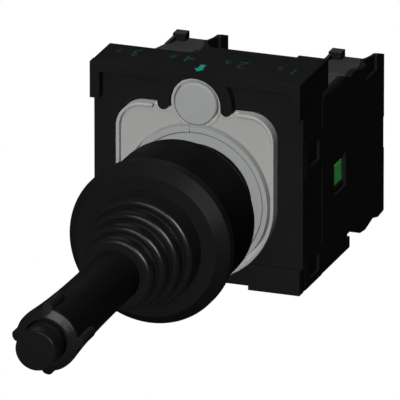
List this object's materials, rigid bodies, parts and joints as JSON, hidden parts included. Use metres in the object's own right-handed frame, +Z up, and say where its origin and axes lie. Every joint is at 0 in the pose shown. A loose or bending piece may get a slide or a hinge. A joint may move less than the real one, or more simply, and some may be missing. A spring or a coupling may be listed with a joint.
{
  "type": "industrial joystick",
  "caption": "Panel joystick: a side-to-side lever with rubber bellows and tip push button on a round collar, and behind the panel a square holder with plug-in contact modules.",
  "frame": {"origin": "on the axis of the panel hole, at the holder's front face that rests on the panel's rear", "axes": "+Z up, -Y towards the hand along the lever, +Y into the cabinet, +X to the right seen from the front"},
  "size_m": [0.04, 0.1284, 0.04],
  "materials": {
    "black_plastic": "satin",
    "frame_plastic": "satin",
    "module_plastic": "satin",
    "green_plastic": "satin",
    "pale_plastic": "matte",
    "brass": "brushed",
    "steel": "brushed",
    "rubber": "satin",
    "grey_plate": "matte",
    "grey_plastic": "matte"
  },
  "bodies": {
    "base": {"collar_body": "black_plastic", "pivot_pin": "steel", "front_flange": "black_plastic", "panel_seal": "rubber", "bellows": "rubber", "guide_bush": "pale_plastic", "holder_plate": "grey_plate", "carrier_frame": "frame_plastic", "right_module_housing": "module_plastic", "right_module_nose": "module_plastic", "right_fixed_contacts": "brass", "right_terminal_clamps": "steel", "right_centring_spring": "steel", "right_plunger_spring": "steel", "left_module_housing": "module_plastic", "left_module_nose": "module_plastic", "left_fixed_contacts": "brass", "left_terminal_clamps": "steel", "left_centring_spring": "steel", "left_plunger_spring": "steel", "terminal_screws": "steel"},
    "lever": {"lever_rocker": "black_plastic", "lever_tube": "steel", "lever_grip": "black_plastic", "grip_end_ring": "black_plastic", "button_spring": "steel"},
    "button": {"tip_button": "black_plastic", "button_rod": "steel"},
    "right_push": {"right_push_rod": "pale_plastic", "right_transfer_arm": "pale_plastic", "right_plunger": "green_plastic", "right_contact_bridge": "brass"},
    "left_push": {"left_push_rod": "pale_plastic", "left_transfer_arm": "pale_plastic", "left_plunger": "green_plastic", "left_contact_bridge": "brass"},
    "ring": {"locking_ring": "grey_plastic"},
    "clamp": {"clamp_pad": "grey_plastic", "clamp_screw": "steel"}
  },
  "joints": [
    {"name": "lever_tilt", "type": "hinge", "parent": "base", "child": "lever", "pos_m": [0, -0.0165, 0], "axis": [0, 0, 1], "range_deg": [-15, 15], "stiffness_Nm_per_rad": 0.3, "deforming": ["bellows"]},
    {"name": "button_press", "type": "slide", "parent": "lever", "child": "button", "axis": [0, 1, 0], "range_m": [0, 0.0025], "stiffness_N_per_m": 600, "deforming": ["button_spring"]},
    {"name": "right_push", "type": "slide", "parent": "base", "child": "right_push", "axis": [0, 1, 0], "range_m": [-0.00172, 0.00172], "deforming": ["right_centring_spring", "right_plunger_spring"]},
    {"name": "left_push", "type": "slide", "parent": "base", "child": "left_push", "axis": [0, 1, 0], "range_m": [-0.00172, 0.00172], "deforming": ["left_centring_spring", "left_plunger_spring"]},
    {"name": "ring_turn", "type": "hinge", "parent": "base", "child": "ring", "pos_m": [0, 0, 0], "axis": [0, 1, 0], "range_deg": [0, 25]},
    {"name": "clamp_advance", "type": "slide", "parent": "base", "child": "clamp", "axis": [0, -1, 0], "range_m": [0, 0.002]}
  ],
  "couplings": [
    {"joint": "right_push", "follows": "lever_tilt", "m_per_rad": 0.0065},
    {"joint": "left_push", "follows": "lever_tilt", "m_per_rad": -0.0065}
  ]
}
